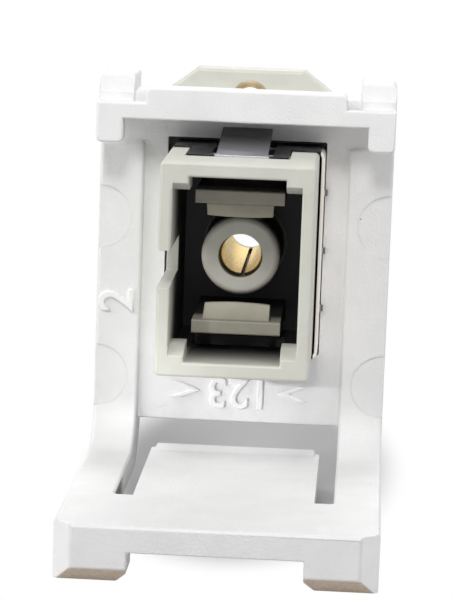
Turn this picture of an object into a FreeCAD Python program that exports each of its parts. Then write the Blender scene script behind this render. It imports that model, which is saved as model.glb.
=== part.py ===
"""Simplex push-pull fibre adapter, snapped into the panel of a moulded module holder.

Millimetres. +X is right, +Y is to the rear and +Z is up, seen from the open side of the
holder. The origin is the point where the two ferrules meet: on the axis of the alignment
sleeve, in the joint plane of the adapter's two housing halves.
"""
import FreeCAD, Part
import math
import os
from FreeCAD import Vector

# Adapter housing halves
BODY_W = 9.3
BODY_H = 13.0
HALF_LEN = 13.7
BODY_EDGE_R = 0.3
RIM_EDGE_R = 0.2
WALL_SIDE = 0.78
WALL_END = 0.9
GUIDE_T = 0.9
GUIDE_LEN = 3.1
GUIDE_GAP = 5.8
GUIDE_RAMP_H = 0.53
GUIDE_RAMP_LEN = 1.35
LEAD_IN = 0.12
KEY_W = 2.25
KEY_LEN = 7.5
LATCH_WINDOW_START = 6.6
LATCH_WINDOW_LEN = 3.6

# Flange, half of its thickness on each housing half
FLANGE_T = 1.3
FLANGE_W = 12.6
FLANGE_H = 22.3
FLANGE_TIP_W = 6.8
FLANGE_TAPER = 2.2
FLANGE_CORNER_R = 0.4
FLANGE_BEVEL = 0.15
INSERT_PITCH = 18.4
INSERT_R = 1.25
INSERT_BORE_R = 0.85
INSERT_CHAMFER = 0.12
INSERT_GROOVE = 0.15
INSERT_GROOVE_W = 0.6

# Latch carriers and alignment sleeve
CARRIER_T = 0.9
CARRIER_LIP = 0.25
CARRIER_CLEAR = 0.03
SLEEVE_BORE_R = 1.25
SLEEVE_WALL = 0.35
SLEEVE_LEN = 11.4
SLEEVE_SLIT = 0.22
SLEEVE_SLIT_TURN = 6.0
SLEEVE_CHAMFER = 0.1
SLEEVE_CLEAR = 0.02
SLEEVE_END_CLEAR = 0.15
BARREL_R = 2.45
BARREL_LIP_R = 1.37
BARREL_LIP_T = 1.0
BARREL_EDGE_R = 0.4
ARM_W = 5.44
ARM_T = 0.85
ARM_INNER_Z = 3.6
ARM_LEN = 9.9
ARM_EDGE_R = 0.12
ARM_ROOT_R = 0.5
NOSE_W = 4.05
NOSE_H = 0.95
NOSE_RAMP = 1.2
NOSE_FLAT = 0.4
NOSE_BACK = 0.15
NOSE_CROWN_R = 22.0

# Retaining clip of folded spring sheet
CLIP_T = 0.2
CLIP_RECESS = 0.1
CLIP_BEND_R = 0.3
CLIP_FLANGE_CLEAR = 0.05
RIM_LEN = 3.6
POST_KEY_W = 1.2
POST_CLIP_W = 1.7
POST_LEN = 4.5
CLIP_CLEAR = 0.1
CLIP_SIDE_INSET = 0.2
CLIP_SIDE_GAP = 0.14
CORNER_CUT = 0.35
BARB_W = 3.15
BARB_GAP = 0.3
BARB_ROOT = 0.4
BARB_REACH = 7.6
BARB_PANEL_CLEAR = 0.1
CLIP_TOOTH_W = 0.36
CLIP_TOOTH_H = 0.2
CLIP_TOOTH_LEN = 0.5
CLIP_TOOTH_PITCH = 3.7

# Holder panel, pads and rails
HOLDER_W = 18.6
PANEL_T = 1.3
PANEL_MARGIN = 0.29
PAD_T = 0.5
PAD_TOP = 6.48
PAD_EDGE_R = 0.2
RECESS_W = 13.0
RAIL_T = 1.2
CHANNEL_CLEAR = 0.2
WINDOW_SIDE_CLEAR = 0.06
WINDOW_END_CLEAR = 0.25
WINDOW_CORNER_R = 0.12
HOLDER_EDGE_R = 0.25
PIN_MARK_R = 2.0
PIN_MARK_DEEP = 0.08
PIN_MARK_INSET = 0.1
PIN_MARK_UPPER_Z = 1.65
PIN_MARK_LOWER_Z = -8.65

# Holder top bar with its snap tabs
BAR_REACH = 3.71
BAR_T = 1.6
BAR_BOTTOM = 8.2
BAR_SHOULDER = 9.245
BAR_LIP_TOP = 10.24
BAR_LIP_R = 0.35
TOP_WALL_Z = 9.74
END_BLOCK_W = 1.69
END_BLOCK_BOTTOM = 6.69
TAB_W = 2.2
TAB_TOP = 10.87
TAB_LEAN = 0.35
TAB_OUTER_R = 0.5
TAB_INNER_R = 0.25
BAR_EDGE_R = 0.18
RELIEF_W = 0.86
RELIEF_WALL = 0.7
RELIEF_FLOOR = 8.8
RELIEF_BACK = 0.7

# Holder shelf with its tongue and hooked feet
SHELF_TOP = -13.05
SHELF_T = 1.55
SHELF_REACH = 22.2
BEND_INNER_R = 3.2
BEND_OUTER_R = 4.0
SLOT_LEG_W = 1.12
SLOT_END = 14.35
SLOT_CORNER_R = 0.3
TONGUE_BACK = 1.14
TONGUE_CORNER_R = 0.5
TONGUE_LIP_H = 0.28
TONGUE_LIP_LEN = 1.2
TONGUE_LIP_R = 0.22
TONGUE_LIP_INSET = 0.3
FOOT_W = 4.27
FOOT_DROP = 1.9
FOOT_DEEP = 3.0
FOOT_CHAMFER = 0.95
FOOT_INNER_CUT = 0.6
FOOT_CORNER_CUT = 1.15

# Places that follow from the driving dimensions
FRONT_Y = -HALF_LEN
PANEL_BACK = -FLANGE_T
PANEL_FRONT = PANEL_BACK - PANEL_T
PAD_FRONT = PANEL_FRONT - PAD_T
RAIL_BACK = PANEL_BACK + RAIL_T
BAR_FRONT = PANEL_FRONT - BAR_REACH
BAR_BACK = BAR_FRONT + BAR_T
BAR_LIP_W = HOLDER_W - 2 * (TAB_W + RELIEF_W)
SHELF_FRONT = PANEL_FRONT - SHELF_REACH
SHELF_BOTTOM = SHELF_TOP - SHELF_T
PANEL_BOTTOM = -(FLANGE_H / 2 + PANEL_MARGIN)
CAVITY_X = BODY_W / 2 - WALL_SIDE
CAVITY_Z = BODY_H / 2 - WALL_END
CLIP_SEAT_Z = BODY_H / 2 - CLIP_RECESS
CLIP_BACK = PANEL_BACK - CLIP_FLANGE_CLEAR
RIM_BACK = FRONT_Y + RIM_LEN
POST_BACK = RIM_BACK + POST_LEN
CLIP_FRONT = RIM_BACK + CLIP_CLEAR
BAND_FRONT = POST_BACK + CLIP_CLEAR
SLEEVE_R = SLEEVE_BORE_R + SLEEVE_WALL
BARREL_LEN = SLEEVE_LEN / 2 + SLEEVE_END_CLEAR + BARREL_LIP_T
# Overshoot of cutting tools past the faces that they cut
PAST = 1.0


def box(x0, x1, y0, y1, z0, z1):
    """Block between two corners."""
    return Part.makeBox(x1 - x0, y1 - y0, z1 - z0, Vector(x0, y0, z0))


def rod(radius, y0, y1, x=0.0, z=0.0):
    """Cylinder along Y."""
    return Part.makeCylinder(radius, y1 - y0, Vector(x, y0, z), Vector(0, 1, 0))


def cone(radius0, radius1, y0, y1, x=0.0, z=0.0):
    """Cone along Y."""
    return Part.makeCone(radius0, radius1, y1 - y0, Vector(x, y0, z), Vector(0, 1, 0))


def place(plane, level, a, b):
    """Point of an outline drawn in the plane xz, yz or xy at a level of the third axis."""
    if plane == "xz":
        return Vector(a, level, b)
    if plane == "yz":
        return Vector(level, a, b)
    return Vector(a, b, level)


def outline(corners, plane, level):
    """Closed wire through corners (a, b) or (a, b, radius), with an arc at each radius."""
    points = [place(plane, level, corner[0], corner[1]) for corner in corners]
    entries = []
    for i, corner in enumerate(corners):
        here = points[i]
        back = points[i - 1] - here
        ahead = points[(i + 1) % len(points)] - here
        radius = corner[2] if len(corner) > 2 else 0.0
        half_angle = back.getAngle(ahead) / 2
        reach = min(radius / math.tan(half_angle), 0.49 * back.Length, 0.49 * ahead.Length)
        start = here + back.normalize() * reach
        end = here + ahead.normalize() * reach
        if reach > 0:
            middle_way = (back + ahead).normalize()
            true_radius = reach * math.tan(half_angle)
            middle = here + middle_way * (true_radius / math.sin(half_angle) - true_radius)
            entries.append((start, middle, end))
        else:
            entries.append((here, None, here))
    edges = []
    for i, (start, middle, end) in enumerate(entries):
        if middle is not None:
            edges.append(Part.Arc(start, middle, end).toShape())
        following = entries[(i + 1) % len(entries)][0]
        if end.distanceToPoint(following) > 1e-6:
            edges.append(Part.LineSegment(end, following).toShape())
    return Part.Wire(edges)


def prism(corners, plane, start, end):
    """Solid of an outline pushed from one level of its third axis to another."""
    face = Part.Face(outline(corners, plane, start))
    return face.extrude(place(plane, end - start, 0, 0))


def mirrored_x(shape):
    """The same shape on the other side of the plane X = 0."""
    return shape.mirror(Vector(0, 0, 0), Vector(1, 0, 0))


def mirrored_z(shape):
    """The same shape on the other side of the plane Z = 0."""
    return shape.mirror(Vector(0, 0, 0), Vector(0, 0, 1))


def far_half(shape):
    """A front half turned about X, so that it becomes the rear half."""
    turned = shape.copy()
    turned.rotate(Vector(0, 0, 0), Vector(1, 0, 0), 180)
    return turned


def edges_at(shape, axis, level):
    """Edges that lie in the plane where the named axis has this value."""
    low = axis + "Min"
    high = axis + "Max"
    found = []
    for edge in shape.Edges:
        span = edge.BoundBox
        if abs(getattr(span, low) - level) < 1e-4 and abs(getattr(span, high) - level) < 1e-4:
            found.append(edge)
    return found


def rectangle(half_a, half_b, radius=0.0):
    """Corners of a centred rectangle."""
    return [(-half_a, -half_b, radius), (half_a, -half_b, radius),
            (half_a, half_b, radius), (-half_a, half_b, radius)]


def mouth_corners(grow):
    """Stepped mouth of the port: full width between the guides, taller in the middle."""
    x = CAVITY_X + grow
    gap = GUIDE_GAP / 2 + grow
    top = CAVITY_Z + grow
    guide = CAVITY_Z - GUIDE_T + grow
    return [(-gap, top), (gap, top), (gap, guide), (x, guide), (x, -guide), (gap, -guide),
            (gap, -top), (-gap, -top), (-gap, -guide), (-x, -guide), (-x, guide), (-gap, guide)]


def guide_ramp():
    """Slope at the mouth end of the two upper guides."""
    inner = CAVITY_Z - GUIDE_T
    return prism([(FRONT_Y, inner), (FRONT_Y + GUIDE_RAMP_LEN, inner),
                  (FRONT_Y, inner + GUIDE_RAMP_H)], "yz", -CAVITY_X, CAVITY_X)


def flange_plate():
    """Half of the flange: a long plate with tapered ends and bevelled front edges."""
    x = FLANGE_W / 2
    tip = FLANGE_TIP_W / 2
    z = FLANGE_H / 2
    shoulder = z - FLANGE_TAPER
    r = FLANGE_CORNER_R
    corners = [(-x, -shoulder, r), (-tip, -z, r), (tip, -z, r), (x, -shoulder, r),
               (x, shoulder, r), (tip, z, r), (-tip, z, r), (-x, shoulder, r)]
    plate = prism(corners, "xz", PANEL_BACK, 0)
    return plate.makeChamfer(FLANGE_BEVEL, edges_at(plate, "Y", PANEL_BACK))


def clip_seat():
    """What the clip takes off the top and bottom walls, and the corners that it bends round."""
    side = BODY_W / 2
    top = BODY_H / 2 + PAST
    tongue = box(POST_KEY_W - side, side - POST_CLIP_W, RIM_BACK, PANEL_BACK, CLIP_SEAT_Z, top)
    band = box(-side - PAST, side + PAST, POST_BACK, PANEL_BACK, CLIP_SEAT_Z, top)
    corner = prism([(side - CORNER_CUT, CLIP_SEAT_Z), (side, CLIP_SEAT_Z - CORNER_CUT),
                    (side, CLIP_SEAT_Z)], "xz", POST_BACK, PANEL_BACK)
    upper = tongue.fuse([band, corner])
    return [upper, mirrored_z(upper)]


def housing_half():
    """Front half of the adapter housing, with its half of the flange."""
    body = prism(rectangle(BODY_W / 2, BODY_H / 2, BODY_EDGE_R), "xz", FRONT_Y, 0)
    body = body.makeFillet(RIM_EDGE_R, edges_at(body, "Y", FRONT_Y))
    body = body.fuse(flange_plate())
    guide_end = FRONT_Y + GUIDE_LEN
    mouth = prism(mouth_corners(0), "xz", FRONT_Y - PAST, guide_end)
    lead_in = Part.makeLoft([outline(mouth_corners(LEAD_IN), "xz", FRONT_Y),
                             outline(mouth_corners(0), "xz", FRONT_Y + LEAD_IN)], True, True)
    ramp = guide_ramp()
    cavity = prism(rectangle(CAVITY_X, CAVITY_Z), "xz", guide_end, PAST)
    pocket = prism(rectangle(CAVITY_X + CARRIER_LIP, CAVITY_Z + CARRIER_LIP),
                   "xz", -CARRIER_T, PAST)
    key = box(-BODY_W, -CAVITY_X + LEAD_IN, FRONT_Y - PAST, FRONT_Y + KEY_LEN,
              -KEY_W / 2, KEY_W / 2)
    window_start = FRONT_Y + LATCH_WINDOW_START
    latch_window = box(-GUIDE_GAP / 2, GUIDE_GAP / 2, window_start,
                       window_start + LATCH_WINDOW_LEN, -BODY_H, BODY_H)
    bores = [rod(INSERT_R, PANEL_BACK - PAST, PAST, z=side * INSERT_PITCH / 2)
             for side in (-1, 1)]
    cuts = [mouth, lead_in, ramp, mirrored_z(ramp), cavity, pocket, key, latch_window]
    return body.cut(cuts + clip_seat() + bores).removeSplitter()


def latch_arm():
    """Upper latch arm: a flat spring with a narrower hooked nose at its tip."""
    tip = -ARM_LEN
    inner = ARM_INNER_Z
    arm = prism([(-CARRIER_T / 2, inner), (tip, inner, ARM_EDGE_R),
                 (tip, inner + ARM_T, ARM_EDGE_R), (-CARRIER_T / 2, inner + ARM_T)],
                "yz", -ARM_W / 2, ARM_W / 2)
    ramp_end = tip + NOSE_RAMP
    flat_end = ramp_end + NOSE_FLAT
    root = inner + ARM_T / 2
    nose = prism([(tip + ARM_EDGE_R, root), (tip + ARM_EDGE_R, inner), (ramp_end, inner - NOSE_H),
                  (flat_end, inner - NOSE_H), (flat_end + NOSE_BACK, inner),
                  (flat_end + NOSE_BACK, root)], "yz", -NOSE_W / 2, NOSE_W / 2)
    crown = rod(NOSE_CROWN_R, tip - PAST, flat_end + PAST, z=inner - NOSE_H + NOSE_CROWN_R)
    nose = nose.common(crown)
    foot = -CARRIER_T
    brace = prism([(foot, inner + ARM_T), (foot, inner + ARM_T + ARM_ROOT_R),
                   (foot - ARM_ROOT_R, inner + ARM_T)], "yz", -ARM_W / 2, ARM_W / 2)
    return arm.fuse([nose, brace])


def latch_carrier():
    """Front inner moulding: base plate, barrel half for the sleeve and two latch arms."""
    base = prism(rectangle(CAVITY_X + CARRIER_LIP - CARRIER_CLEAR,
                           CAVITY_Z + CARRIER_LIP - CARRIER_CLEAR), "xz", -CARRIER_T, 0)
    arm = latch_arm()
    barrel = rod(BARREL_R, -BARREL_LEN, -CARRIER_T / 2)
    barrel = barrel.makeFillet(BARREL_EDGE_R, edges_at(barrel, "Y", -BARREL_LEN))
    solid = base.fuse([barrel, arm, mirrored_z(arm)])
    lip_start = -BARREL_LEN + BARREL_LIP_T
    sleeve_bore = rod(SLEEVE_R + SLEEVE_CLEAR, lip_start, PAST)
    lip_bore = rod(BARREL_LIP_R, -BARREL_LEN - PAST, lip_start)
    return solid.cut([sleeve_bore, lip_bore]).removeSplitter()


def alignment_sleeve():
    """Split sleeve that grips both ferrules, with its slit at the bottom, a little to the right."""
    end = SLEEVE_LEN / 2
    tube = rod(SLEEVE_R, -end, end).cut(rod(SLEEVE_BORE_R, -end - PAST, end + PAST))
    outer_ends = [edge for level in (-end, end) for edge in edges_at(tube, "Y", level)
                  if abs(edge.Curve.Radius - SLEEVE_R) < 1e-4]
    tube = tube.makeChamfer(SLEEVE_CHAMFER, outer_ends)
    slit = box(-SLEEVE_SLIT / 2, SLEEVE_SLIT / 2, -end - PAST, end + PAST, -SLEEVE_R - PAST, 0)
    slit.rotate(Vector(0, 0, 0), Vector(0, 1, 0), -SLEEVE_SLIT_TURN)
    return tube.cut(slit)


def flange_insert(side):
    """Threaded bush through both flange halves, with a grip groove round its middle."""
    z = side * INSERT_PITCH / 2
    end = FLANGE_T
    bush = rod(INSERT_R, -end, end, z=z)
    groove = rod(INSERT_R + PAST, -INSERT_GROOVE_W / 2, INSERT_GROOVE_W / 2, z=z)
    groove = groove.cut(rod(INSERT_R - INSERT_GROOVE, -end, end, z=z))
    bore = rod(INSERT_BORE_R, -end - PAST, end + PAST, z=z)
    wide = INSERT_BORE_R + INSERT_CHAMFER
    front_chamfer = cone(wide, INSERT_BORE_R, -end, -end + INSERT_CHAMFER, z=z)
    rear_chamfer = cone(INSERT_BORE_R, wide, end - INSERT_CHAMFER, end, z=z)
    return bush.cut([groove, bore, front_chamfer, rear_chamfer])


def barb():
    """Upper barb of the clip: a leaf that rises from the wing to the front of the panel."""
    bend = CLIP_FRONT + BARB_ROOT
    end = PANEL_FRONT - BARB_PANEL_CLEAR
    low = CLIP_SEAT_Z
    return prism([(CLIP_FRONT, low), (bend, low), (end, BARB_REACH - CLIP_T), (end, BARB_REACH),
                  (bend, low + CLIP_T), (CLIP_FRONT, low + CLIP_T)],
                 "yz", -BARB_W / 2, BARB_W / 2)


def clip_wing():
    """Upper wing of the clip between the posts, lanced round its barb."""
    left = POST_KEY_W - BODY_W / 2 + CLIP_CLEAR
    right = BODY_W / 2 - POST_CLIP_W - CLIP_CLEAR
    wing = box(left, right, CLIP_FRONT, CLIP_BACK, CLIP_SEAT_Z, CLIP_SEAT_Z + CLIP_T)
    lance_x = BARB_W / 2 + BARB_GAP
    lance = box(-lance_x, lance_x, CLIP_FRONT + BARB_ROOT, PANEL_FRONT, 0, BODY_H)
    return wing.cut(lance).fuse(barb())


def retaining_clip():
    """U of spring sheet round the housing's right side, with a barb on each wing and three teeth."""
    left = -BODY_W / 2 + CLIP_SIDE_INSET
    side = BODY_W / 2 + CLIP_SIDE_GAP
    outer_r = CLIP_BEND_R + CLIP_T
    out_z = CLIP_SEAT_Z + CLIP_T
    outer = prism([(left, -out_z), (side + CLIP_T, -out_z, outer_r),
                   (side + CLIP_T, out_z, outer_r), (left, out_z)], "xz", BAND_FRONT, CLIP_BACK)
    inner = prism([(left - PAST, -CLIP_SEAT_Z), (side, -CLIP_SEAT_Z, CLIP_BEND_R),
                   (side, CLIP_SEAT_Z, CLIP_BEND_R), (left - PAST, CLIP_SEAT_Z)],
                  "xz", BAND_FRONT - PAST, CLIP_BACK + PAST)
    lance_x = BARB_W / 2 + BARB_GAP
    lance = box(-lance_x, lance_x, BAND_FRONT - PAST, PANEL_FRONT, -BODY_H, BODY_H)
    tooth_end = PANEL_FRONT - BARB_PANEL_CLEAR
    teeth = [box(side, side + CLIP_T + CLIP_TOOTH_H, tooth_end - CLIP_TOOTH_LEN, tooth_end,
                 step * CLIP_TOOTH_PITCH - CLIP_TOOTH_W / 2,
                 step * CLIP_TOOTH_PITCH + CLIP_TOOTH_W / 2) for step in (-1, 0, 1)]
    wing = clip_wing()
    return outer.cut([inner, lance]).fuse(teeth + [wing, mirrored_z(wing)]).removeSplitter()


def holder_spine():
    """Panel, rails, pads, bend and shelf as one side profile across the holder's width."""
    x = HOLDER_W / 2
    r = HOLDER_EDGE_R
    corners = [(SHELF_FRONT, SHELF_BOTTOM), (RAIL_BACK, SHELF_BOTTOM, BEND_OUTER_R),
               (RAIL_BACK, TOP_WALL_Z), (PANEL_FRONT, TOP_WALL_Z), (PANEL_FRONT, PAD_TOP),
               (PAD_FRONT, PAD_TOP, r), (PAD_FRONT, SHELF_TOP, BEND_INNER_R),
               (SHELF_FRONT, SHELF_TOP, r)]
    spine = prism(corners, "yz", -x, x)
    sides = [edge for level in (-x, x) for edge in edges_at(spine, "X", level)]
    fronts = [edge for edge in sides if edge.BoundBox.YMax < PANEL_FRONT
              and edge.BoundBox.ZMax > SHELF_BOTTOM + SHELF_T / 2 and edge.BoundBox.ZMax < PAD_TOP]
    return spine.makeFillet(r, fronts)


def shelf_slot():
    """U-shaped slot that frees the tongue, open towards the panel's lower edge."""
    x = RECESS_W / 2
    tongue = x - SLOT_LEG_W
    front = PANEL_FRONT - SLOT_END
    back = PANEL_FRONT - TONGUE_BACK
    low = SHELF_BOTTOM - PAST
    around = prism([(-x, front, SLOT_CORNER_R), (x, front, SLOT_CORNER_R),
                    (x, RAIL_BACK + PAST), (-x, RAIL_BACK + PAST)], "xy", low, PANEL_BOTTOM)
    inside = prism([(-tongue, front - PAST), (tongue, front - PAST),
                    (tongue, back, TONGUE_CORNER_R), (-tongue, back, TONGUE_CORNER_R)],
                   "xy", low - PAST, PANEL_BOTTOM + PAST)
    return around.cut(inside)


def tongue_lip():
    """Rounded lip that rises along the rear edge of the tongue."""
    back = PANEL_FRONT - TONGUE_BACK
    top = SHELF_TOP + TONGUE_LIP_H
    half = RECESS_W / 2 - SLOT_LEG_W - TONGUE_LIP_INSET
    side_view = prism([(back - TONGUE_LIP_LEN, SHELF_TOP), (back - TONGUE_LIP_LEN / 3, top),
                       (back, top, TONGUE_LIP_R), (back, SHELF_BOTTOM + SHELF_T / 2),
                       (back - TONGUE_LIP_LEN, SHELF_BOTTOM + SHELF_T / 2)], "yz", -half, half)
    front_view = prism([(-half, SHELF_BOTTOM), (half, SHELF_BOTTOM), (half, top, TONGUE_LIP_R),
                        (-half, top, TONGUE_LIP_R)], "xz", back - TONGUE_LIP_LEN, back)
    return side_view.common(front_view)


def pad_edges(plate):
    """Front edges of the two pads along the recess between them."""
    x = RECESS_W / 2
    found = edges_at(plate, "X", -x) + edges_at(plate, "X", x)
    return [edge for edge in found if abs(edge.BoundBox.YMin - PAD_FRONT) < 1e-4
            and abs(edge.BoundBox.YMax - PAD_FRONT) < 1e-4]


def top_bar():
    """Bar along the top edge: shoulders, raised middle lip and two end blocks hanging down."""
    x = HOLDER_W / 2
    block = x - END_BLOCK_W
    lip = BAR_LIP_W / 2
    r = BAR_LIP_R
    corners = [(-x, END_BLOCK_BOTTOM, r), (-block, END_BLOCK_BOTTOM, r), (-block, BAR_BOTTOM),
               (block, BAR_BOTTOM), (block, END_BLOCK_BOTTOM, r), (x, END_BLOCK_BOTTOM, r),
               (x, BAR_SHOULDER), (lip, BAR_SHOULDER), (lip, BAR_LIP_TOP, r),
               (-lip, BAR_LIP_TOP, r), (-lip, BAR_SHOULDER), (-x, BAR_SHOULDER)]
    bar = prism(corners, "xz", BAR_FRONT, BAR_BACK)
    bar = bar.makeFillet(BAR_EDGE_R, edges_at(bar, "Y", BAR_FRONT))
    wall = box(-x, x, BAR_BACK, PANEL_BACK, BAR_BOTTOM, TOP_WALL_Z)
    return bar.fuse(wall)


def snap_tab():
    """Right-hand snap tab on the top wall, leaning back, with rounded upper corners."""
    outer = HOLDER_W / 2
    inner = outer - TAB_W
    front_view = prism([(inner, BAR_BOTTOM), (outer, BAR_BOTTOM), (outer, TAB_TOP, TAB_OUTER_R),
                        (inner, TAB_TOP, TAB_INNER_R)], "xz", BAR_BACK, RAIL_BACK)
    side_view = prism([(BAR_BACK, BAR_BOTTOM), (RAIL_BACK, BAR_BOTTOM), (RAIL_BACK, TAB_TOP),
                       (BAR_BACK + TAB_LEAN, TAB_TOP, TAB_INNER_R), (BAR_BACK, BAR_SHOULDER)],
                      "yz", inner - PAST, outer + PAST)
    return front_view.common(side_view)


def tab_relief():
    """Pocket beside the right-hand tab that lets it bend."""
    return box(BAR_LIP_W / 2, HOLDER_W / 2 - TAB_W, BAR_FRONT + RELIEF_WALL,
               BAR_BACK + RELIEF_BACK, RELIEF_FLOOR, TAB_TOP)


def hooked_foot():
    """Right-hand foot under the front edge of the shelf, with its inner corner cut off."""
    outer = HOLDER_W / 2
    inner = outer - FOOT_W
    bottom = SHELF_BOTTOM - FOOT_DROP
    return prism([(inner, SHELF_BOTTOM + SHELF_T / 2), (inner, bottom + FOOT_INNER_CUT),
                  (inner + FOOT_INNER_CUT, bottom), (outer, bottom),
                  (outer, SHELF_BOTTOM + SHELF_T / 2)],
                 "xz", SHELF_FRONT, SHELF_FRONT + FOOT_DEEP)


def front_corner_cut():
    """Right-hand bevel down the front corner of shelf and foot."""
    outer = HOLDER_W / 2
    cut = FOOT_CORNER_CUT
    return prism([(outer - cut, SHELF_FRONT), (outer, SHELF_FRONT), (outer, SHELF_FRONT + cut)],
                 "xy", SHELF_BOTTOM - FOOT_DROP - PAST, SHELF_TOP + PAST)


def foot_lead_in():
    """Sloping lower front edge of both feet."""
    bottom = SHELF_BOTTOM - FOOT_DROP
    cut = FOOT_CHAMFER
    return prism([(SHELF_FRONT, bottom), (SHELF_FRONT + cut, bottom), (SHELF_FRONT, bottom + cut)],
                 "yz", -HOLDER_W, HOLDER_W)


def pin_marks():
    """Shallow round marks of the ejector pins on the outer edges of the pads."""
    x = HOLDER_W / 2 - PIN_MARK_INSET
    return [rod(PIN_MARK_R, PAD_FRONT - PAST, PAD_FRONT + PIN_MARK_DEEP, x=side * x, z=z)
            for side in (-1, 1) for z in (PIN_MARK_UPPER_Z, PIN_MARK_LOWER_Z)]


def panel_window():
    """Window that clears the clip all round."""
    x = BODY_W / 2 + CLIP_SIDE_GAP + CLIP_T + WINDOW_SIDE_CLEAR
    z = CLIP_SEAT_Z + CLIP_T + WINDOW_END_CLEAR
    return prism(rectangle(x, z, WINDOW_CORNER_R), "xz", PANEL_FRONT - PAST, PANEL_BACK + PAST)


def module_holder():
    """The moulded holder that carries the adapter in its panel."""
    recess = box(-RECESS_W / 2, RECESS_W / 2, PAD_FRONT - BEND_INNER_R, PANEL_FRONT,
                 SHELF_TOP, PAD_TOP + PAST)
    channel_x = FLANGE_W / 2 + CHANNEL_CLEAR
    channel = box(-channel_x, channel_x, PANEL_BACK, RAIL_BACK + PAST,
                  PANEL_BOTTOM - PAST, TOP_WALL_Z + PAST)
    plate = holder_spine().cut([recess, channel, shelf_slot(), panel_window()])
    plate = plate.makeFillet(PAD_EDGE_R, pad_edges(plate))
    right = [snap_tab(), hooked_foot()]
    solid = plate.fuse([top_bar(), tongue_lip()] + right + [mirrored_x(shape) for shape in right])
    right_cuts = [tab_relief(), front_corner_cut()]
    cuts = right_cuts + [mirrored_x(shape) for shape in right_cuts] + [foot_lead_in()]
    return solid.cut(cuts + pin_marks()).removeSplitter()


def main():
    """Build every piece and write it to its own file."""
    front_housing = housing_half()
    front_carrier = latch_carrier()
    pieces = {
        "module_holder": module_holder(),
        "front_housing": front_housing,
        "rear_housing": far_half(front_housing),
        "front_latch_carrier": front_carrier,
        "rear_latch_carrier": far_half(front_carrier),
        "alignment_sleeve": alignment_sleeve(),
        "retaining_clip": retaining_clip(),
        "upper_flange_insert": flange_insert(1),
        "lower_flange_insert": flange_insert(-1),
    }
    os.makedirs("parts", exist_ok=True)
    for name, shape in pieces.items():
        shape.exportStep(os.path.join("parts", name + ".step"))
        print(name, len(shape.Solids), "solid", round(shape.Volume, 2), "mm3", shape.isValid())


main()
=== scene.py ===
"""Looks of a simplex fibre adapter that is snapped into a white module holder.

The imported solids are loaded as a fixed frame. Each moulding is dressed with soft edges and
its own finish, small moulded marks and threads are added, and a stage is lit round them.
Lengths are in metres: +X is right, +Y is to the rear and +Z is up. The finishes read places
on the object in millimetres, and a pair of places there is where a change starts and ends.
"""
import math
from functools import cached_property

import bpy
from bpy.props import FloatProperty, FloatVectorProperty, PointerProperty, StringProperty
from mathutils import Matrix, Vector


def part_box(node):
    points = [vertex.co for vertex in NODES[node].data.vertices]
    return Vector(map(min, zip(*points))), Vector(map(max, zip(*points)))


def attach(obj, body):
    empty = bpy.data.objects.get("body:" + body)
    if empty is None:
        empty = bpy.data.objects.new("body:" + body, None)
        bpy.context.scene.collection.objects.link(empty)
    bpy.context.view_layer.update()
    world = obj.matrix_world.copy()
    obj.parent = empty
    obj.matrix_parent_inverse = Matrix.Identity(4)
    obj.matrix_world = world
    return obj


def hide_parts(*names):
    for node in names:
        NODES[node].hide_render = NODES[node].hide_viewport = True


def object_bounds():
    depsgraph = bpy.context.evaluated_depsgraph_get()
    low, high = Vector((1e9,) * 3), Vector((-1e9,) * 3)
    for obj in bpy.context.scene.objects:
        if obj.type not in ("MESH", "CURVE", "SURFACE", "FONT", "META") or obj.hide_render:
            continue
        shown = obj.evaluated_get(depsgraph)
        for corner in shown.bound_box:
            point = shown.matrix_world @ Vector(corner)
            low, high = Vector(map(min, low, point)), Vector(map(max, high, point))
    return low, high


bl_info = {
    "name": "Fibre adapter in a module holder",
    "version": (1, 0, 0),
    "blender": (4, 5, 0),
    "location": "3D View > Sidebar > Adapter",
    "description": "Dresses the packed adapter and its holder, and lights them for a product view",
    "category": "Object",
}

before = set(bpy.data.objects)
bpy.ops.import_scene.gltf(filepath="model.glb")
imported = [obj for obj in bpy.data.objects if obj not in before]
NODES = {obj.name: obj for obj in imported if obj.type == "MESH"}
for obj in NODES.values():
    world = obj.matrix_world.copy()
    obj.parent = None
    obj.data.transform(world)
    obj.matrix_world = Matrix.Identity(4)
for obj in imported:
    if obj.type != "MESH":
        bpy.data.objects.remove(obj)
CAD_LOW, CAD_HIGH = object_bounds()
MM = 0.001
PAD_Y = -3.1 * MM
PANEL_Y = -2.6 * MM

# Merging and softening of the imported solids
MERGE_DISTANCE = 1e-6
FLAT_ANGLE = math.radians(0.5)
SHARP_ANGLE = math.radians(34)
SMOOTH_ANGLE = math.radians(48)
NORMAL_WEIGHT = 60

# Least length of a softened edge and least room beside it, in widths of the soft edge
LEAST_LENGTH = 1.5
LEAST_ROOM = 2.5

# Holder: ejector pin marks on the pads, with a line of painted shade along each rim
PIN_MARK_X = 9.2
PIN_MARK_R = 2.0
PIN_MARK_HEIGHTS = (1.65, -8.65)
PIN_MARK_LINE = (0.02, 0.07)
PAD_FACE = (-3.2, -3.15), (-3.0, -2.95)

# Holder: painted warm shade on the lower front slopes of the feet
FOOT_TOP = (-15.68, -15.5)
FOOT_REAR = (-23.5, -23.2)
FOOT_SIDE = (8.2, 8.35)
FOOT_SLANT = 0.9
FOOT_SLANT_Z = -15.6
FOOT_SHADE_TAN = (0.55, 0.41, 0.265)

# Holder: outer walls of the slot round the tongue, made dark brown, and the front of the shelf,
# which gets painted shade
SLOT_TOP = (-13.3, -13.1)
SLOT_WALL = (6.42, 6.47), (6.53, 6.58)
SLOT_LENGTH = (-17.05, -17.0), (-13.5, -10.5)
SLOT_WALL_DARK = (0.06, 0.05, 0.036)
SHELF_FRONT = (-24.7, -24.6)
FRONT_SHADE_GREYS = (0.765, 0.755, 0.765), (0.80, 0.79, 0.80)
SPECK_BROWN = (0.10, 0.075, 0.05)
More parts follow.
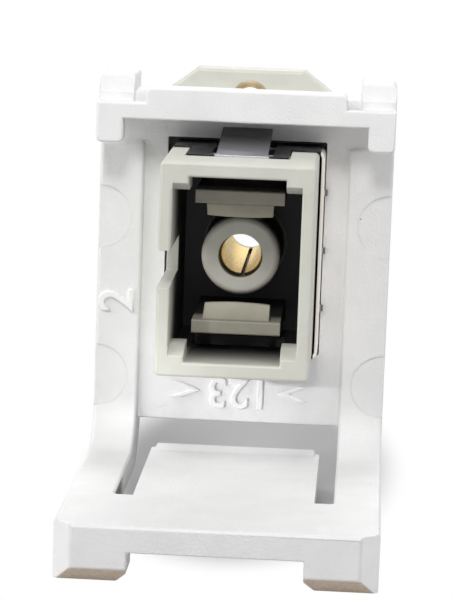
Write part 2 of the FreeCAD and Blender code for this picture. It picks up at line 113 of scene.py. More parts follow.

# Housings: places across the port, and depths from its mouth, which bound the painted shade inside
# the port, in the latch windows and on the flange face in the panel window's gap
PORT_MOUTH = 1000.0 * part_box("front_housing")[0].y
PORT_WIDTH = (3.9, 3.96)
PORT_HEIGHT = (5.64, 5.7)
SIDE_WALL = (3.7, 3.82)
SIDE_WALL_DEPTH = (0.3, 6.0)
PORT_FLOOR_DEPTH = (1.0, 6.2)
CHANNEL_WIDTH = (2.84, 2.9)
CHANNEL_FLOOR = (5.4, 5.5)
CHANNEL_DEPTH = (-1.5, 5.0)
WINDOW_WIDTH = (2.95, 3.0)
WINDOW_HEIGHT = (5.5, 5.6), (6.36, 6.4)
WINDOW_DEPTH = (6.0, 6.5), (10.3, 10.5)
SEAT_WIDTH = (5.14, 5.18)
SEAT_HEIGHT = (6.94, 6.98)
SEAT_LENGTH = (-2.5, -2.4), (-1.0, -0.9)

# Carriers: the barrel, its bore, the arms and their noses, which bound painted light on the noses
# and the barrel end and painted shade on the bars, arms, barrel and bore
BARREL_RADIUS = (2.55, 2.7)
BARREL_DEPTH = (7.5, 9.0)
BORE_RADIUS = (1.42, 1.5)
BORE_DEPTH = (6.9, 7.3)
ARM_DEPTH = (5.1, 6.4)
NOSE_HEIGHT = (3.5, 3.6)
BARREL_LIT_GREYS = (0.71, 0.695, 0.615), (0.76, 0.74, 0.655)

# Sleeve ends, which get painted shade, and the parts of the clip, which get painted shade on the
# wings and painted reflection on the barbs and side
SLEEVE_END = (5.5, 5.62)
BRONZE_GLINT = (0.95, 0.82, 0.56, 1.0)
BARB_WIDTH = (1.6, 1.7)
BARB_LENGTH = (-9.0, -3.5)
CLIP_SIDE = (4.7, 4.76), (5.0, 5.04)
CLIP_SIDE_HEIGHT = (6.5, 6.62)
WING_HEIGHT = (6.3, 6.36)
CLIP_SIDE_REFLECTION = (0.86, 0.82, 0.76)

# Moulded marks: places, heights as shares of the text, and depths as shares of the relief
NUMBER_PLACE = (-7.88 * MM, PAD_Y, -3.72 * MM)
MARK_MIDDLE = Vector((0, PANEL_Y, -9.45 * MM))
CHEVRON_X = 4.1 * MM
DIGIT_HEIGHT = 0.69
CHEVRON_HEIGHT = 0.55
TEXT_WALL = 0.6
TEXT_ROUND = 0.4
TEXT_THINNED = 0.15
CHEVRON_ROUND = 0.45

# Flange bushes
BUSH_SIDES = 64

# Stage
FLOOR_SIZE = 3.0
SHADOW_MIDDLE_Y = 8.0
SHADOW_HALF_WIDTH = 11.5
SHADOW_HALF_LENGTH = 30.0
SHADOW_RIM = (0.62, 1.0)
PORT_TARGET = Vector((0, -0.004, -0.003))
PANEL_TARGET = Vector((0, PANEL_Y, -0.0102))
SOFT_LAMPS = (
    ("key_lamp", (-0.028, -0.393, 0.355), 0.12, "key_power"),
    ("left_lamp", (-0.383, -0.171, 0.272), 0.4, "left_power"),
    ("right_lamp", (0.32, -0.149, 0.354), 0.3, "right_power"),
    ("back_lamp", (0.06, 0.42, 0.26), 0.4, "back_power"),
)
SPOT_PLACE = (-0.15, -0.25, 0.045)
SPOT_ANGLE = math.radians(2.6)
SPOT_RADIUS = 0.003
CAMERA_CLIP = (0.01, 10.0)


def colour(name, description, default):
    """A colour that a user may change."""
    return FloatVectorProperty(name=name, description=description, subtype="COLOR", size=3,
                               min=0.0, max=1.0, default=default)


def length(name, description, default):
    """A length that a user may change."""
    return FloatProperty(name=name, description=description, unit="LENGTH", precision=6,
                         min=0.0, default=default)


def power(name, description, default):
    """A lamp's power that a user may change."""
    return FloatProperty(name=name, description=description, unit="POWER", min=0.0,
                         default=default)


class ADAPTER_PG_finish(bpy.types.PropertyGroup):
    """Colours and edge sizes of the mouldings and metal pieces."""

    holder_white: colour("Holder white", "Satin plastic of the holder", (0.878, 0.875, 0.876))
    housing_beige: colour("Housing beige", "Pale plastic of the adapter housing",
                          (0.63, 0.63, 0.565))
    carrier_beige: colour("Carrier beige", "Plastic of the hooks and barrels",
                          (0.44, 0.415, 0.34))
    # Near black that is painted shade inside the ports
    painted_port_shade: colour("Port dark", "Dark inside of the ports", (0.017, 0.0165, 0.0165))
    bronze: colour("Sleeve bronze", "Drawn bronze of the split sleeve", (0.57, 0.465, 0.25))
    spring_steel: colour("Spring steel", "Rolled sheet of the clip", (0.36, 0.36, 0.39))
    brass: colour("Bush brass", "Turned brass of the flange bushes", (0.50, 0.39, 0.235))
    holder_edge: length("Holder edge", "Width of the soft edges of the holder", 0.10 * MM)
    housing_edge: length("Housing edge", "Width of the soft edges of the housings", 0.05 * MM)
    carrier_edge: length("Carrier edge", "Width of the soft edges of the carriers", 0.05 * MM)
    metal_edge: length("Metal edge", "Width of the soft edges of clip and sleeve", 0.025 * MM)
    grain: length("Plastic grain", "Size of the fine grain on the holder", 0.15 * MM)


class ADAPTER_PG_marks(bpy.types.PropertyGroup):
    """Moulded marks and the threads of the flange bushes."""

    cavity_number: StringProperty(name="Cavity number", description="Raised number on the pad",
                                  default="2")
    plain_number: StringProperty(name="Plain number", description="Digits between the chevrons",
                                 default="123")
    number_height: length("Number height", "Height of the cavity number", 2.2 * MM)
    mark_height: length("Mark height", "Height of the digits between the chevrons", 1.9 * MM)
    relief: length("Relief", "How far the marks stand out", 0.22 * MM)
    chevron_reach: length("Chevron reach", "How far the tip of a chevron is from its ends",
                          1.3 * MM)
    stroke: length("Stroke", "Width of the strokes of the chevrons", 0.3 * MM)
    bush_bore: length("Bush bore", "Radius of the smallest circle of the thread", 0.85 * MM)
    thread_pitch: length("Thread pitch", "Pitch of the thread in the bushes", 0.4 * MM)
    thread_depth: length("Thread depth", "Depth of the thread in the bushes", 0.14 * MM)


class ADAPTER_PG_stage(bpy.types.PropertyGroup):
    """Camera, floor and lamps."""

    camera_place: FloatVectorProperty(name="Camera place", description="Where the camera stands",
                                      subtype="TRANSLATION", size=3, precision=5,
                                      default=(0.007515, -0.168214, 0.02389))
    camera_turn: FloatVectorProperty(name="Camera turn", description="How the camera is turned",
                                     subtype="EULER", size=3, precision=5,
                                     default=(1.4069, -0.03535, 0.05713))
    camera_lens: FloatProperty(name="Camera lens", description="Focal length in millimetres",
                               unit="CAMERA", min=1.0, default=157.46)
    floor_white: colour("Floor white", "Colour of the floor", (0.60, 0.60, 0.605))
    key_power: power("Key power", "Power of the key lamp", 1.0)
    left_power: power("Left power", "Power of the soft lamp on the left", 1.6)
    right_power: power("Right power", "Power of the soft lamp on the right", 1.0)
    back_power: power("Back power", "Power of the soft lamp behind", 0.7)
    panel_power: power("Panel power", "Power of the spot on the panel", 1.75)
    fill: FloatProperty(name="Fill", description="Strength of the even light from all round",
                        min=0.0, default=0.10)


class Value:
    """A shader socket that takes part in Python expressions."""

    def __init__(self, finish, socket):
        self.finish = finish
        self.socket = socket

    def math(self, operation, *others):
        """This value and others through a Math node."""
        inputs = dict(enumerate((self, *others)))
        return self.finish.add("ShaderNodeMath", {"operation": operation}, inputs)

    def __add__(self, other):
        return self.math("ADD", other)

    __radd__ = __add__

    def __mul__(self, other):
        return self.math("MULTIPLY", other)

    __rmul__ = __mul__

    def __sub__(self, other):
        return self.math("SUBTRACT", other)

    def __rsub__(self, other):
        return (self * -1.0) + other

    def __abs__(self):
        return self.math("ABSOLUTE")

    def most(self, *others):
        """The largest of this value and others."""
        largest = self
        for other in others:
            largest = largest.math("MAXIMUM", other)
        return largest

    def over(self, low, high):
        """0 below low, 1 above high and a smooth rise between."""
        return self.finish.add("ShaderNodeMapRange", {"interpolation_type": "SMOOTHSTEP"},
                               {"Value": self, "From Min": low, "From Max": high})

    def under(self, low, high):
        """1 below low, 0 above high and a smooth fall between."""
        return 1.0 - self.over(low, high)

    def between(self, rise, fall):
        """1 between a rise and a fall, 0 outside."""
        return self.over(*rise) * self.under(*fall)


class Finish:
    """The nodes of a material or a world, added by type, settings and sockets."""

    def __init__(self, owner):
        owner.use_nodes = True
        self.owner = owner
        self.tree = owner.node_tree
        self.tree.nodes.clear()

    def add(self, kind, settings, inputs, output=0):
        """Adds a node and gives back one of its outputs as a value."""
        node = self.tree.nodes.new(kind)
        for key, entry in settings.items():
            setattr(node, key, entry)
        for key, entry in inputs.items():
            if isinstance(entry, Value):
                self.tree.links.new(entry.socket, node.inputs[key])
            else:
                node.inputs[key].default_value = entry
        return Value(self, node.outputs[output]) if node.outputs else None

    @cached_property
    def place(self):
        """The place on the object."""
        return self.add("ShaderNodeTexCoord", {}, {}, "Object")

    def axes(self):
        """The three coordinates of the place on the object, in millimetres."""
        parts = [self.add("ShaderNodeSeparateXYZ", {}, {"Vector": self.place}, axis)
                 for axis in ("X", "Y", "Z")]
        return [part * 1000.0 for part in parts]

    def noise(self, size, detail=2.0, roughness=0.5, place=None):
        """Noise whose patches are about this size."""
        return self.add("ShaderNodeTexNoise", {}, {"Vector": place or self.place,
                                                   "Scale": 1.0 / size, "Detail": detail,
                                                   "Roughness": roughness})

    def lines(self, size, stretch):
        """Noise that is drawn out into lines along one axis."""
        drawn = self.add("ShaderNodeMapping", {}, {"Vector": self.place, "Scale": stretch})
        return self.noise(size, place=drawn)

    def specks(self, spacing, radius):
        """1 in rare small dots, 0 elsewhere."""
        distance = self.add("ShaderNodeTexVoronoi", {}, {"Vector": self.place,
                                                         "Scale": 1.0 / spacing}, "Distance")
        return distance.under(0.6 * radius / spacing, radius / spacing)

    def mix(self, factor, first, second):
        """Colours mixed by a factor."""
        return self.add("ShaderNodeMix", {"data_type": "RGBA"},
                        {0: factor, 6: self.shade(first), 7: self.shade(second)}, 2)

    @staticmethod
    def shade(entry):
        """A colour with its fourth number, or a linked colour as it is."""
        return entry if isinstance(entry, Value) else (*entry[:3], 1.0)

    def bump(self, height, distance, strength):
        """A normal that is tilted by a height."""
        return self.add("ShaderNodeBump", {}, {"Height": height, "Distance": distance,
                                               "Strength": strength})

    def surface(self, **inputs):
        """The finished principled surface."""
        sockets = {key.replace("_", " ").title().replace("Ior", "IOR"): entry
                   for key, entry in inputs.items()}
        shader = self.add("ShaderNodeBsdfPrincipled", {}, sockets)
        self.add("ShaderNodeOutputMaterial", {}, {"Surface": shader})
        return self.owner


def new_finish(name):
    """The finish of a new material."""
    return Finish(bpy.data.materials.new(name))


def tinted(base, factor):
    """A colour made lighter or darker."""
    return tuple(min(1.0, part * factor) for part in base[:3])


def holder_finish(settings):
    """White moulded plastic: fine grain, faint clouding and rare dark specks, with painted shade
    on the feet's slopes, along the pin mark rims and on the front of the shelf, and dark brown
    slot walls.
    """
    finish = new_finish("holder_white_plastic")
    white = tuple(settings.holder_white)
    clouds = finish.noise(2.2 * MM, 3.0).over(0.35, 0.7)
    grain = finish.noise(settings.grain, 2.0, 0.6)
    mottled = finish.noise(0.25 * MM, 4.0, 0.7).over(0.25, 0.75)
    faded = finish.noise(1.3 * MM, 3.0).over(0.3, 0.6)
    handled = finish.noise(5.0 * MM, 4.0, 0.6).over(0.3, 0.7)
    x, y, z = finish.axes()
    tone = finish.mix(clouds, tinted(white, 0.975), tinted(white, 1.015))
    tone = finish.mix(grain.over(0.3, 0.75) * 0.35, tone, tinted(white, 0.95))
    tone = finish.mix(finish.specks(2.6 * MM, 0.06 * MM), tone, SPECK_BROWN)
    # Painted warm shade on the lower front slopes of the feet, mottled
    slanted = abs(x) + FOOT_SLANT * (z - FOOT_SLANT_Z)
    foot_shade = z.under(*FOOT_TOP) * y.under(*FOOT_REAR) * slanted.under(*FOOT_SIDE)
    tone = finish.mix(foot_shade * (0.62 + 0.34 * mottled), tone, FOOT_SHADE_TAN)
    # Painted shade: a dark line along the rim of each ejector pin mark on the pads
    rings = []
    for height in PIN_MARK_HEIGHTS:
        across, up = abs(x) - PIN_MARK_X, z - height
        radius = (across * across + up * up).math("SQRT")
        rings.append(abs(radius - PIN_MARK_R).under(*PIN_MARK_LINE))
    ring = rings[0].most(*rings[1:]) * y.between(*PAD_FACE)
    tone = finish.mix(ring * faded * 0.32, tone, tinted(white, 0.55))
    # The outer walls of the slot are made dark brown, mottled
    slot = z.under(*SLOT_TOP) * abs(x).between(*SLOT_WALL) * y.between(*SLOT_LENGTH)
    tone = finish.mix(slot * (0.86 + 0.14 * mottled), tone, SLOT_WALL_DARK)
    # Painted shade: the front of the shelf is made grey
    front = y.under(*SHELF_FRONT) * (1.0 - foot_shade)
    tone = finish.mix(front, tone, finish.mix(clouds, *FRONT_SHADE_GREYS))
    return finish.surface(base_color=tone, roughness=0.40 + 0.14 * handled + 0.08 * grain,
                          normal=finish.bump(grain, 0.05 * MM, 0.62), ior=1.53)


def mark_finish(settings):
    """Raised marks of the holder: the same plastic off a polished part of the mould, with a
    lighter tone that is painted highlight where the ridges catch light.
    """
    finish = new_finish("mark_white_plastic")
    white = tuple(settings.holder_white)
    clouds = finish.noise(0.6 * MM, 3.0).over(0.35, 0.7)
    # Painted highlight: the marks are made lighter than the holder
    tone = finish.mix(clouds, tinted(white, 1.06), tinted(white, 1.1))
    return finish.surface(base_color=tone, roughness=0.24 + 0.1 * clouds, ior=1.53,
                          normal=finish.bump(finish.noise(0.2 * MM), 0.008 * MM, 0.5))


def housing_finish(settings):
    """Pale beige plastic with painted shade inside the port, in the latch windows and on the
    flange face in the gap of the panel window.
    """
    finish = new_finish("housing_beige_plastic")
    beige = tuple(settings.housing_beige)
    clouds = finish.noise(1.6 * MM, 3.0).over(0.3, 0.7)
    fine = finish.noise(0.12 * MM, 2.0, 0.55)
    x, y, z = finish.axes()
    depth = -PORT_MOUTH - abs(y)
    inside = abs(x).under(*PORT_WIDTH) * abs(z).under(*PORT_HEIGHT)
    side_wall = abs(x).over(*SIDE_WALL) * depth.over(*SIDE_WALL_DEPTH)
    floor = depth.over(*PORT_FLOOR_DEPTH)
    channel = (abs(x).under(*CHANNEL_WIDTH) * abs(z).over(*CHANNEL_FLOOR)
               * depth.over(*CHANNEL_DEPTH))
    window = (abs(x).under(*WINDOW_WIDTH) * abs(z).between(*WINDOW_HEIGHT)
              * depth.between(*WINDOW_DEPTH))
    seat = abs(x).under(*SEAT_WIDTH) * abs(z).under(*SEAT_HEIGHT) * y.between(*SEAT_LENGTH)
    # Painted shade: the inside of the port, the latch windows and the flange face in the gap of
    # the panel window are made near black
    shade = (inside * side_wall.most(floor, channel)).most(window, seat)
    tone = finish.mix(clouds, tinted(beige, 0.965), tinted(beige, 1.02))
    tone = finish.mix(shade, tone, settings.painted_port_shade)
    return finish.surface(base_color=tone, roughness=0.42 + 0.12 * clouds + 0.06 * fine,
                          normal=finish.bump(fine, 0.006 * MM, 0.5), ior=1.55)


def carrier_finish(settings):
    """Beige plastic of hooks and barrel, with painted light on the noses and barrel end and
    painted shade on the bars and towards the bottom of the port.
    """
    finish = new_finish("carrier_beige_plastic")
    beige = tuple(settings.carrier_beige)
    clouds = finish.noise(1.1 * MM, 3.0).over(0.3, 0.7)
    fine = finish.noise(0.1 * MM, 2.0, 0.55)
    x, y, z = finish.axes()
    depth = -PORT_MOUTH - abs(y)
    radius = (x * x + z * z).math("SQRT")
    barrel = radius.under(*BARREL_RADIUS)
    bore = radius.under(*BORE_RADIUS) * depth.over(*BORE_DEPTH)
    arms = (1.0 - barrel) * depth.over(*ARM_DEPTH)
    behind = barrel * depth.over(*BARREL_DEPTH)
    # Painted shade on the bars of the hooks and painted light on their noses
    shaded_bars = finish.mix(clouds, tinted(beige, 0.70), tinted(beige, 0.78))
    lit_noses = finish.mix(clouds, tinted(beige, 1.2), tinted(beige, 1.32))
    tone = finish.mix(abs(z).under(*NOSE_HEIGHT), shaded_bars, lit_noses)
    # Painted light: the barrel end is made lighter than the hooks
    tone = finish.mix(barrel, tone, finish.mix(clouds, *BARREL_LIT_GREYS))
    # Painted shade: the arms, the barrel behind its end and the bore are made near black
    tone = finish.mix(arms.most(behind, bore), tone, settings.painted_port_shade)
    return finish.surface(base_color=tone, roughness=0.44 + 0.1 * fine,
                          normal=finish.bump(fine, 0.005 * MM, 0.5), ior=1.55)


def bronze_finish(settings):
    """Drawn bronze with fine lines along the sleeve and painted shade on its ends."""
    finish = new_finish("sleeve_drawn_bronze")
    bronze = tuple(settings.bronze)
    lines = finish.lines(0.05 * MM, (1, 0.04, 1))
    along = finish.axes()[1]
    tone = finish.mix(lines.over(0.3, 0.7), tinted(bronze, 0.86), tinted(bronze, 1.08))
    # Painted shade on the ends of the sleeve
    tone = finish.mix(abs(along).over(*SLEEVE_END), tone, tinted(bronze, 0.12))
    return finish.surface(base_color=tone, metallic=1.0, roughness=0.2 + 0.16 * lines,
                          specular_tint=BRONZE_GLINT,
                          normal=finish.bump(lines, 0.003 * MM, 0.4))


def steel_finish(settings):
    """Rolled spring sheet: lines across the clip, painted shade on the wings and painted
    reflection on the barbs and the side.
    """
    finish = new_finish("clip_spring_steel")
    steel = tuple(settings.spring_steel)
    lines = finish.lines(0.06 * MM, (0.05, 1, 1))
    patches = finish.noise(1.4 * MM, 3.0).over(0.35, 0.7)
    x, y, z = finish.axes()
    lit_barb = abs(x).under(*BARB_WIDTH) * y.under(*BARB_LENGTH)
    side_reflection = x.between(*CLIP_SIDE) * abs(z).under(*CLIP_SIDE_HEIGHT)
    shaded_wing = abs(z).over(*WING_HEIGHT) * (1.0 - lit_barb)
    tone = finish.mix(patches, tinted(steel, 0.30), tinted(steel, 0.42))
    # Painted shade: the wings are made near black
    tone = finish.mix(shaded_wing, tone, finish.mix(patches, tinted(steel, 0.06), tinted(steel, 0.14)))
    # Painted reflection: the barbs are made lighter
    tone = finish.mix(lit_barb, tone, tinted(steel, 1.5))
    # Painted reflection: the side of the clip is made bright cream
    tone = finish.mix(side_reflection, tone, CLIP_SIDE_REFLECTION)
    return finish.surface(base_color=tone, metallic=1.0,
                          roughness=0.24 + 0.12 * lines + 0.08 * patches,
                          normal=finish.bump(lines, 0.003 * MM, 0.4))


def brass_finish(settings):
    """Turned brass with a fine grain and dull patches."""
    finish = new_finish("bush_turned_brass")
    brass = tuple(settings.brass)
    grain = finish.noise(0.07 * MM)
    patches = finish.noise(0.8 * MM, 3.0).over(0.35, 0.7)
    tone = finish.mix(patches, tinted(brass, 0.84), tinted(brass, 1.08))
    return finish.surface(base_color=tone, metallic=1.0, roughness=0.24 + 0.18 * grain,
                          normal=finish.bump(grain, 0.003 * MM, 0.4))


def added(adder, **settings):
    """The object that an operator adds, with nothing else selected."""
    bpy.ops.object.select_all(action="DESELECT")
    adder(**settings)
    return bpy.context.view_layer.objects.active


def only(piece):
    """Leaves one object selected and active."""
    bpy.ops.object.select_all(action="DESELECT")
    piece.select_set(True)
    bpy.context.view_layer.objects.active = piece


def copied(mesh, name):
    """A new object with its own copy of a mesh, selected alone."""
    piece = bpy.data.objects.new(name, mesh.copy())
    bpy.context.scene.collection.objects.link(piece)
    only(piece)
    return piece


def apply_place():
    """Puts the place of the selected object into its mesh."""
    bpy.ops.object.transform_apply(location=True, rotation=True, scale=True)


def room_beside(mesh, edge, face):
    """How far a face reaches away from one of its edges."""
    start, end = (mesh.vertices[index].co for index in edge.vertices)
    along = (end - start).normalized()
    steps = [mesh.vertices[index].co - start for index in face.vertices]
    return max((step - along * step.dot(along)).length for step in steps)


def select_roomy_edges(mesh, width):
    """Selects the sharp edges that have room for a bevel of this width."""
    sides = {}
    for face in mesh.polygons:
        face.select = False
        for key in face.edge_keys:
            sides.setdefault(key, []).append(face)
    for vertex in mesh.vertices:
        vertex.select = False
    for edge in mesh.edges:
        first, second = sides[edge.key]
        start, end = (mesh.vertices[index].co for index in edge.vertices)
        room = min(room_beside(mesh, edge, face) for face in (first, second))
        edge.select = (first.normal.angle(second.normal) > SHARP_ANGLE
                       and (end - start).length > LEAST_LENGTH * width
                       and room > LEAST_ROOM * width)


def soften(piece, width, segments=2):
    """Rounds the sharp edges of a piece and keeps its flat faces flat."""
    select_roomy_edges(piece.data, width)
    only(piece)
    bpy.ops.object.mode_set(mode="EDIT")
    bpy.ops.mesh.bevel(offset=width, segments=segments, affect="EDGES", clamp_overlap=False)
    bpy.ops.object.mode_set(mode="OBJECT")
    bpy.ops.object.shade_smooth_by_angle(angle=SMOOTH_ANGLE)
    modifier = piece.modifiers.new("weighted_normal", "WEIGHTED_NORMAL")
    modifier.mode = "FACE_AREA"
    modifier.weight = NORMAL_WEIGHT
    modifier.keep_sharp = True
    bpy.ops.object.modifier_apply(modifier=modifier.name)


def select_rings(piece, levels):
    """Selects the rings of a turned piece at these places along Y, and stays in edit mode."""
    bpy.ops.object.mode_set(mode="OBJECT")
    mesh = piece.data
    near = {vertex.index for vertex in mesh.vertices
            if min(abs(vertex.co.y - level) for level in levels) < MERGE_DISTANCE}
    for vertex in mesh.vertices:
        vertex.select = vertex.index in near
    for edge in mesh.edges:
        edge.select = set(edge.vertices) <= near
    for face in mesh.polygons:
        face.select = False
    bpy.ops.object.mode_set(mode="EDIT")


def settle(piece, material):
    """Gives a piece its finish and the body that it rides on."""
    piece.data.materials.clear()
    piece.data.materials.append(material)
    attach(piece, "root")


def dressed(node, name, width, material):
    """A soft-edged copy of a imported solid, inside that solid's box, which stands for it."""
    piece = copied(NODES[node].data, name)
    bpy.ops.object.mode_set(mode="EDIT")
    bpy.ops.mesh.select_all(action="SELECT")
    bpy.ops.mesh.remove_doubles(threshold=MERGE_DISTANCE)
    bpy.ops.mesh.customdata_custom_splitnormals_clear()
    bpy.ops.mesh.dissolve_limited(angle_limit=FLAT_ANGLE)
    bpy.ops.mesh.select_mode(type="EDGE")
    bpy.ops.object.mode_set(mode="OBJECT")
    soften(piece, width)
    low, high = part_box(node)
    for vertex in piece.data.vertices:
        vertex.co = [min(max(at, least), most) for at, least, most in zip(vertex.co, low, high)]
    settle(piece, material)
    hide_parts(node)


def raised_text(name, words, height, relief, place, turn):
    """Raised digits that face the front, turned in their plane, as a mesh."""
    piece = added(bpy.ops.object.text_add)
    piece.data.body = words
    piece.data.size = height / DIGIT_HEIGHT
    piece.data.align_x = "CENTER"
    piece.data.align_y = "CENTER"
    piece.data.extrude = relief * TEXT_WALL
    piece.data.bevel_depth = relief * TEXT_ROUND
    piece.data.bevel_resolution = 3
    piece.data.offset = -relief * TEXT_THINNED
    bpy.ops.object.convert(target="MESH")
    piece = bpy.context.view_layer.objects.active
    piece.name = name
    piece.rotation_euler = (math.radians(90), -turn, 0)
    piece.location = place
    apply_place()
    return piece


class ADAPTER_OT_holder(bpy.types.Operator):
    """Dress the white holder with soft edges and grained plastic"""

    bl_idname = "adapter.holder"
    bl_label = "Holder"

    def execute(self, context):
        settings = context.scene.adapter_finish
        dressed("module_holder", "holder_moulding", settings.holder_edge,
                holder_finish(settings))
        return {"FINISHED"}


class ADAPTER_OT_housings(bpy.types.Operator):
    """Dress both halves of the adapter housing"""

    bl_idname = "adapter.housings"
    bl_label = "Housing halves"

    def execute(self, context):
        settings = context.scene.adapter_finish
        material = housing_finish(settings)
        for end in ("front", "rear"):
            dressed(end + "_housing", end + "_housing_moulding", settings.housing_edge,
                    material)
        return {"FINISHED"}


class ADAPTER_OT_carriers(bpy.types.Operator):
    """Dress the latch carriers with their hooks and barrels"""

    bl_idname = "adapter.carriers"
    bl_label = "Latch carriers"

    def execute(self, context):
        settings = context.scene.adapter_finish
        material = carrier_finish(settings)
        for end in ("front", "rear"):
            dressed(end + "_latch_carrier", end + "_carrier_moulding", settings.carrier_edge,
                    material)
        return {"FINISHED"}


class ADAPTER_OT_metal(bpy.types.Operator):
    """Dress the split sleeve and the spring clip"""

    bl_idname = "adapter.metal"
    bl_label = "Sleeve and clip"

    def execute(self, context):
        settings = context.scene.adapter_finish
        dressed("alignment_sleeve", "split_sleeve", settings.metal_edge,
                bronze_finish(settings))
        dressed("retaining_clip", "spring_clip", settings.metal_edge,
                steel_finish(settings))
        return {"FINISHED"}


class ADAPTER_OT_bushes(bpy.types.Operator):
    """Turn the flange bushes with their threads"""

    bl_idname = "adapter.bushes"
    bl_label = "Flange bushes"

    def execute(self, context):
        settings = context.scene.adapter_finish
        material = brass_finish(settings)
        upper = self.bush(context.scene.adapter_marks, settings.metal_edge)
        lower = copied(upper.data, "lower_flange_bush")
        lower.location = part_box("lower_flange_insert")[0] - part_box("upper_flange_insert")[0]
        apply_place()
        for piece, node in ((upper, "upper_flange_insert"), (lower, "lower_flange_insert")):
            settle(piece, material)
            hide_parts(node)
        return {"FINISHED"}

    @staticmethod
    def bush(marks, edge):
        """The upper bush: a threaded bore, two end faces and the outside."""
        low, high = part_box("upper_flange_insert")
        axis = (low + high) / 2
        reach = high.y - low.y
        steps = 2 * round(reach / marks.thread_pitch)
        levels = [low.y + reach * step / steps for step in range(1, steps)]
        deep = 1.0 + marks.thread_depth / marks.bush_bore
        wide = (high.x - axis.x) / marks.bush_bore
        piece = added(bpy.ops.mesh.primitive_cylinder_add, vertices=BUSH_SIDES,
                      radius=marks.bush_bore, depth=reach, end_fill_type="NOTHING",
                      location=axis, rotation=(math.radians(90), 0, 0))
        piece.name = "upper_flange_bush"
        apply_place()
        bpy.ops.object.mode_set(mode="EDIT")
        for level in levels:
            bpy.ops.mesh.select_all(action="SELECT")
            bpy.ops.mesh.bisect(plane_co=(0, level, 0), plane_no=(0, 1, 0))
        select_rings(piece, levels[::2])
        bpy.ops.transform.resize(value=(deep, 1, deep), center_override=axis)
        select_rings(piece, [low.y, high.y])
        bpy.ops.mesh.extrude_region()
        bpy.ops.transform.resize(value=(wide, 1, wide), center_override=axis)
        bpy.ops.mesh.bridge_edge_loops()
        bpy.ops.mesh.select_all(action="SELECT")
        bpy.ops.mesh.normals_make_consistent(inside=False)
        bpy.ops.object.mode_set(mode="OBJECT")
        soften(piece, edge)
        return piece


class ADAPTER_OT_marks(bpy.types.Operator):
    """Raise the cavity number, the chevrons and the plain digits on the holder"""

    bl_idname = "adapter.marks"
    bl_label = "Moulded marks"

    def execute(self, context):
        marks = context.scene.adapter_marks
        material = mark_finish(context.scene.adapter_finish)
        number = raised_text("cavity_number", marks.cavity_number, marks.number_height,
                             marks.relief, NUMBER_PLACE, math.radians(90))
        digits = raised_text("plain_digits", marks.plain_number, marks.mark_height,
                             marks.relief, MARK_MIDDLE, math.radians(180))
        left = self.chevron(marks)
        right = copied(left.data, "right_chevron")
        right.rotation_euler = (0, math.pi, 0)
        right.location = (0, 0, 2 * MARK_MIDDLE.z)
        apply_place()
        for piece in (number, digits, left, right):
            settle(piece, material)
        return {"FINISHED"}

    @staticmethod
    def chevron(marks):
        """Left chevron: a bar that is cut across its middle and drawn out to a tip."""
        high = CHEVRON_HEIGHT * marks.mark_height
        across = marks.stroke * math.hypot(marks.chevron_reach, high / 2) / (high / 2)
        piece = added(bpy.ops.mesh.primitive_cube_add, size=1.0,
                      location=MARK_MIDDLE - Vector((CHEVRON_X, 0, 0)),
                      scale=(across, 2 * marks.relief, high))
        piece.name = "left_chevron"
        apply_place()
        bpy.ops.object.mode_set(mode="EDIT")
        bpy.ops.mesh.select_all(action="SELECT")
        bpy.ops.mesh.bisect(plane_co=MARK_MIDDLE, plane_no=(0, 0, 1))
        bpy.ops.transform.translate(value=(marks.chevron_reach, 0, 0))
        bpy.ops.object.mode_set(mode="OBJECT")
        soften(piece, CHEVRON_ROUND * marks.relief, 3)
        return piece


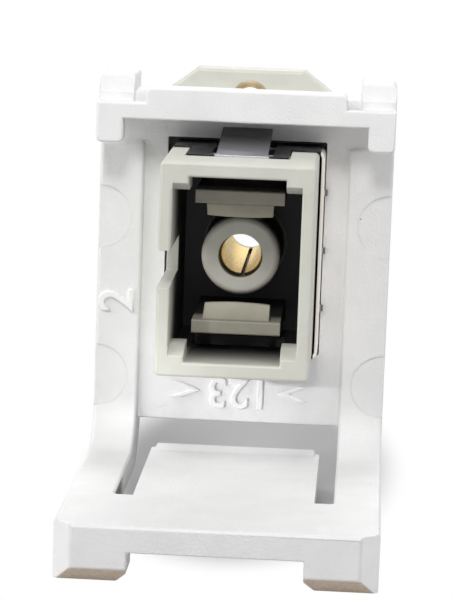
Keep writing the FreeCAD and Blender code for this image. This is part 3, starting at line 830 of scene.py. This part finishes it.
class ADAPTER_OT_stage(bpy.types.Operator):
    """Set up the floor, the lamps, the even light and the camera"""

    bl_idname = "adapter.stage"
    bl_label = "Stage"

    def execute(self, context):
        scene, stage = context.scene, context.scene.adapter_stage
        self.floor(stage)
        self.even_light(scene, stage)
        for name, place, size, level in SOFT_LAMPS:
            lamp = self.lamp("AREA", name, place, PORT_TARGET, getattr(stage, level))
            lamp.size = size
        self.spot(stage)
        self.camera(scene, stage)
        scene.view_settings.view_transform = "Standard"
        return {"FINISHED"}

    def floor(self, stage):
        """Pale floor that keeps the shadow near the object and runs out into white."""
        floor = added(bpy.ops.mesh.primitive_plane_add, size=FLOOR_SIZE,
                      location=(0, 0, CAD_LOW.z))
        floor.name = "floor"
        finish = new_finish("floor_white")
        x, y = finish.axes()[:2]
        across = x * (1 / SHADOW_HALF_WIDTH)
        along = (y - SHADOW_MIDDLE_Y) * (1 / SHADOW_HALF_LENGTH)
        outside = (across * across + along * along).math("SQRT").over(*SHADOW_RIM)
        matt = finish.add("ShaderNodeBsdfDiffuse", {}, {"Color": (*stage.floor_white, 1.0)})
        glow = finish.add("ShaderNodeEmission", {}, {"Color": (1, 1, 1, 1), "Strength": 1.0})
        mixed = finish.add("ShaderNodeMixShader", {}, {0: self.seen(finish) * outside,
                                                       1: matt, 2: glow})
        finish.add("ShaderNodeOutputMaterial", {}, {"Surface": mixed})
        floor.data.materials.append(finish.owner)

    @staticmethod
    def seen(finish):
        """1 for rays that show the background: from the camera, off gloss and through glass."""
        camera, gloss, glass = (finish.add("ShaderNodeLightPath", {}, {}, output) for output in
                                ("Is Camera Ray", "Is Glossy Ray", "Is Transmission Ray"))
        return camera.most(gloss, glass)

    def even_light(self, scene, stage):
        """Even light from all round, white where the camera sees it."""
        scene.world = bpy.data.worlds.new("even_light")
        finish = Finish(scene.world)
        strength = stage.fill + (1.0 - stage.fill) * self.seen(finish)
        background = finish.add("ShaderNodeBackground", {}, {"Color": (1, 1, 1, 1),
                                                             "Strength": strength})
        finish.add("ShaderNodeOutputWorld", {}, {"Surface": background})

    @staticmethod
    def lamp(kind, name, place, target, level):
        """The settings of a new lamp that is turned towards a target."""
        lamp = added(bpy.ops.object.light_add, type=kind, location=place)
        lamp.name = name
        lamp.rotation_euler = (target - Vector(place)).to_track_quat("-Z", "Y").to_euler()
        lamp.data.energy = level
        return lamp.data

    def spot(self, stage):
        """A narrow lamp with a soft rim, which lifts the panel below the port."""
        lamp = self.lamp("SPOT", "panel_lamp", SPOT_PLACE, PANEL_TARGET, stage.panel_power)
        lamp.spot_size = SPOT_ANGLE
        lamp.spot_blend = 1.0
        lamp.shadow_soft_size = SPOT_RADIUS

    @staticmethod
    def camera(scene, stage):
        """Long lens, a little above and to the right of the port."""
        camera = added(bpy.ops.object.camera_add, location=stage.camera_place,
                       rotation=stage.camera_turn)
        camera.name = "product_camera"
        camera.data.lens = stage.camera_lens
        camera.data.clip_start, camera.data.clip_end = CAMERA_CLIP
        scene.camera = camera


class ADAPTER_PT_sidebar(bpy.types.Panel):
    """Colours, sizes and steps of the adapter"""

    bl_idname = "ADAPTER_PT_sidebar"
    bl_label = "Fibre adapter"
    bl_space_type = "VIEW_3D"
    bl_region_type = "UI"
    bl_category = "Adapter"

    def draw(self, context):
        layout = self.layout
        for name in GROUPS:
            group = getattr(context.scene, name)
            box = layout.box()
            for key in group.__annotations__:
                box.prop(group, key)
        for step in STEPS:
            layout.operator(step.bl_idname)


GROUPS = {
    "adapter_finish": ADAPTER_PG_finish,
    "adapter_marks": ADAPTER_PG_marks,
    "adapter_stage": ADAPTER_PG_stage,
}
STEPS = (
    ADAPTER_OT_holder,
    ADAPTER_OT_housings,
    ADAPTER_OT_carriers,
    ADAPTER_OT_metal,
    ADAPTER_OT_bushes,
    ADAPTER_OT_marks,
    ADAPTER_OT_stage,
)
CLASSES = (*GROUPS.values(), *STEPS, ADAPTER_PT_sidebar)


def register():
    """Registers the classes and hangs the settings on the scene."""
    for entry in CLASSES:
        bpy.utils.register_class(entry)
    for name, group in GROUPS.items():
        setattr(bpy.types.Scene, name, PointerProperty(type=group))


def unregister():
    """Takes the settings and the classes away again."""
    for name in GROUPS:
        delattr(bpy.types.Scene, name)
    for entry in reversed(CLASSES):
        bpy.utils.unregister_class(entry)


def main():
    """Builds every piece in order."""
    register()
    bpy.ops.adapter.holder()
    bpy.ops.adapter.housings()
    bpy.ops.adapter.carriers()
    bpy.ops.adapter.metal()
    bpy.ops.adapter.bushes()
    bpy.ops.adapter.marks()
    bpy.ops.adapter.stage()


if __name__ == "__main__":
    main()
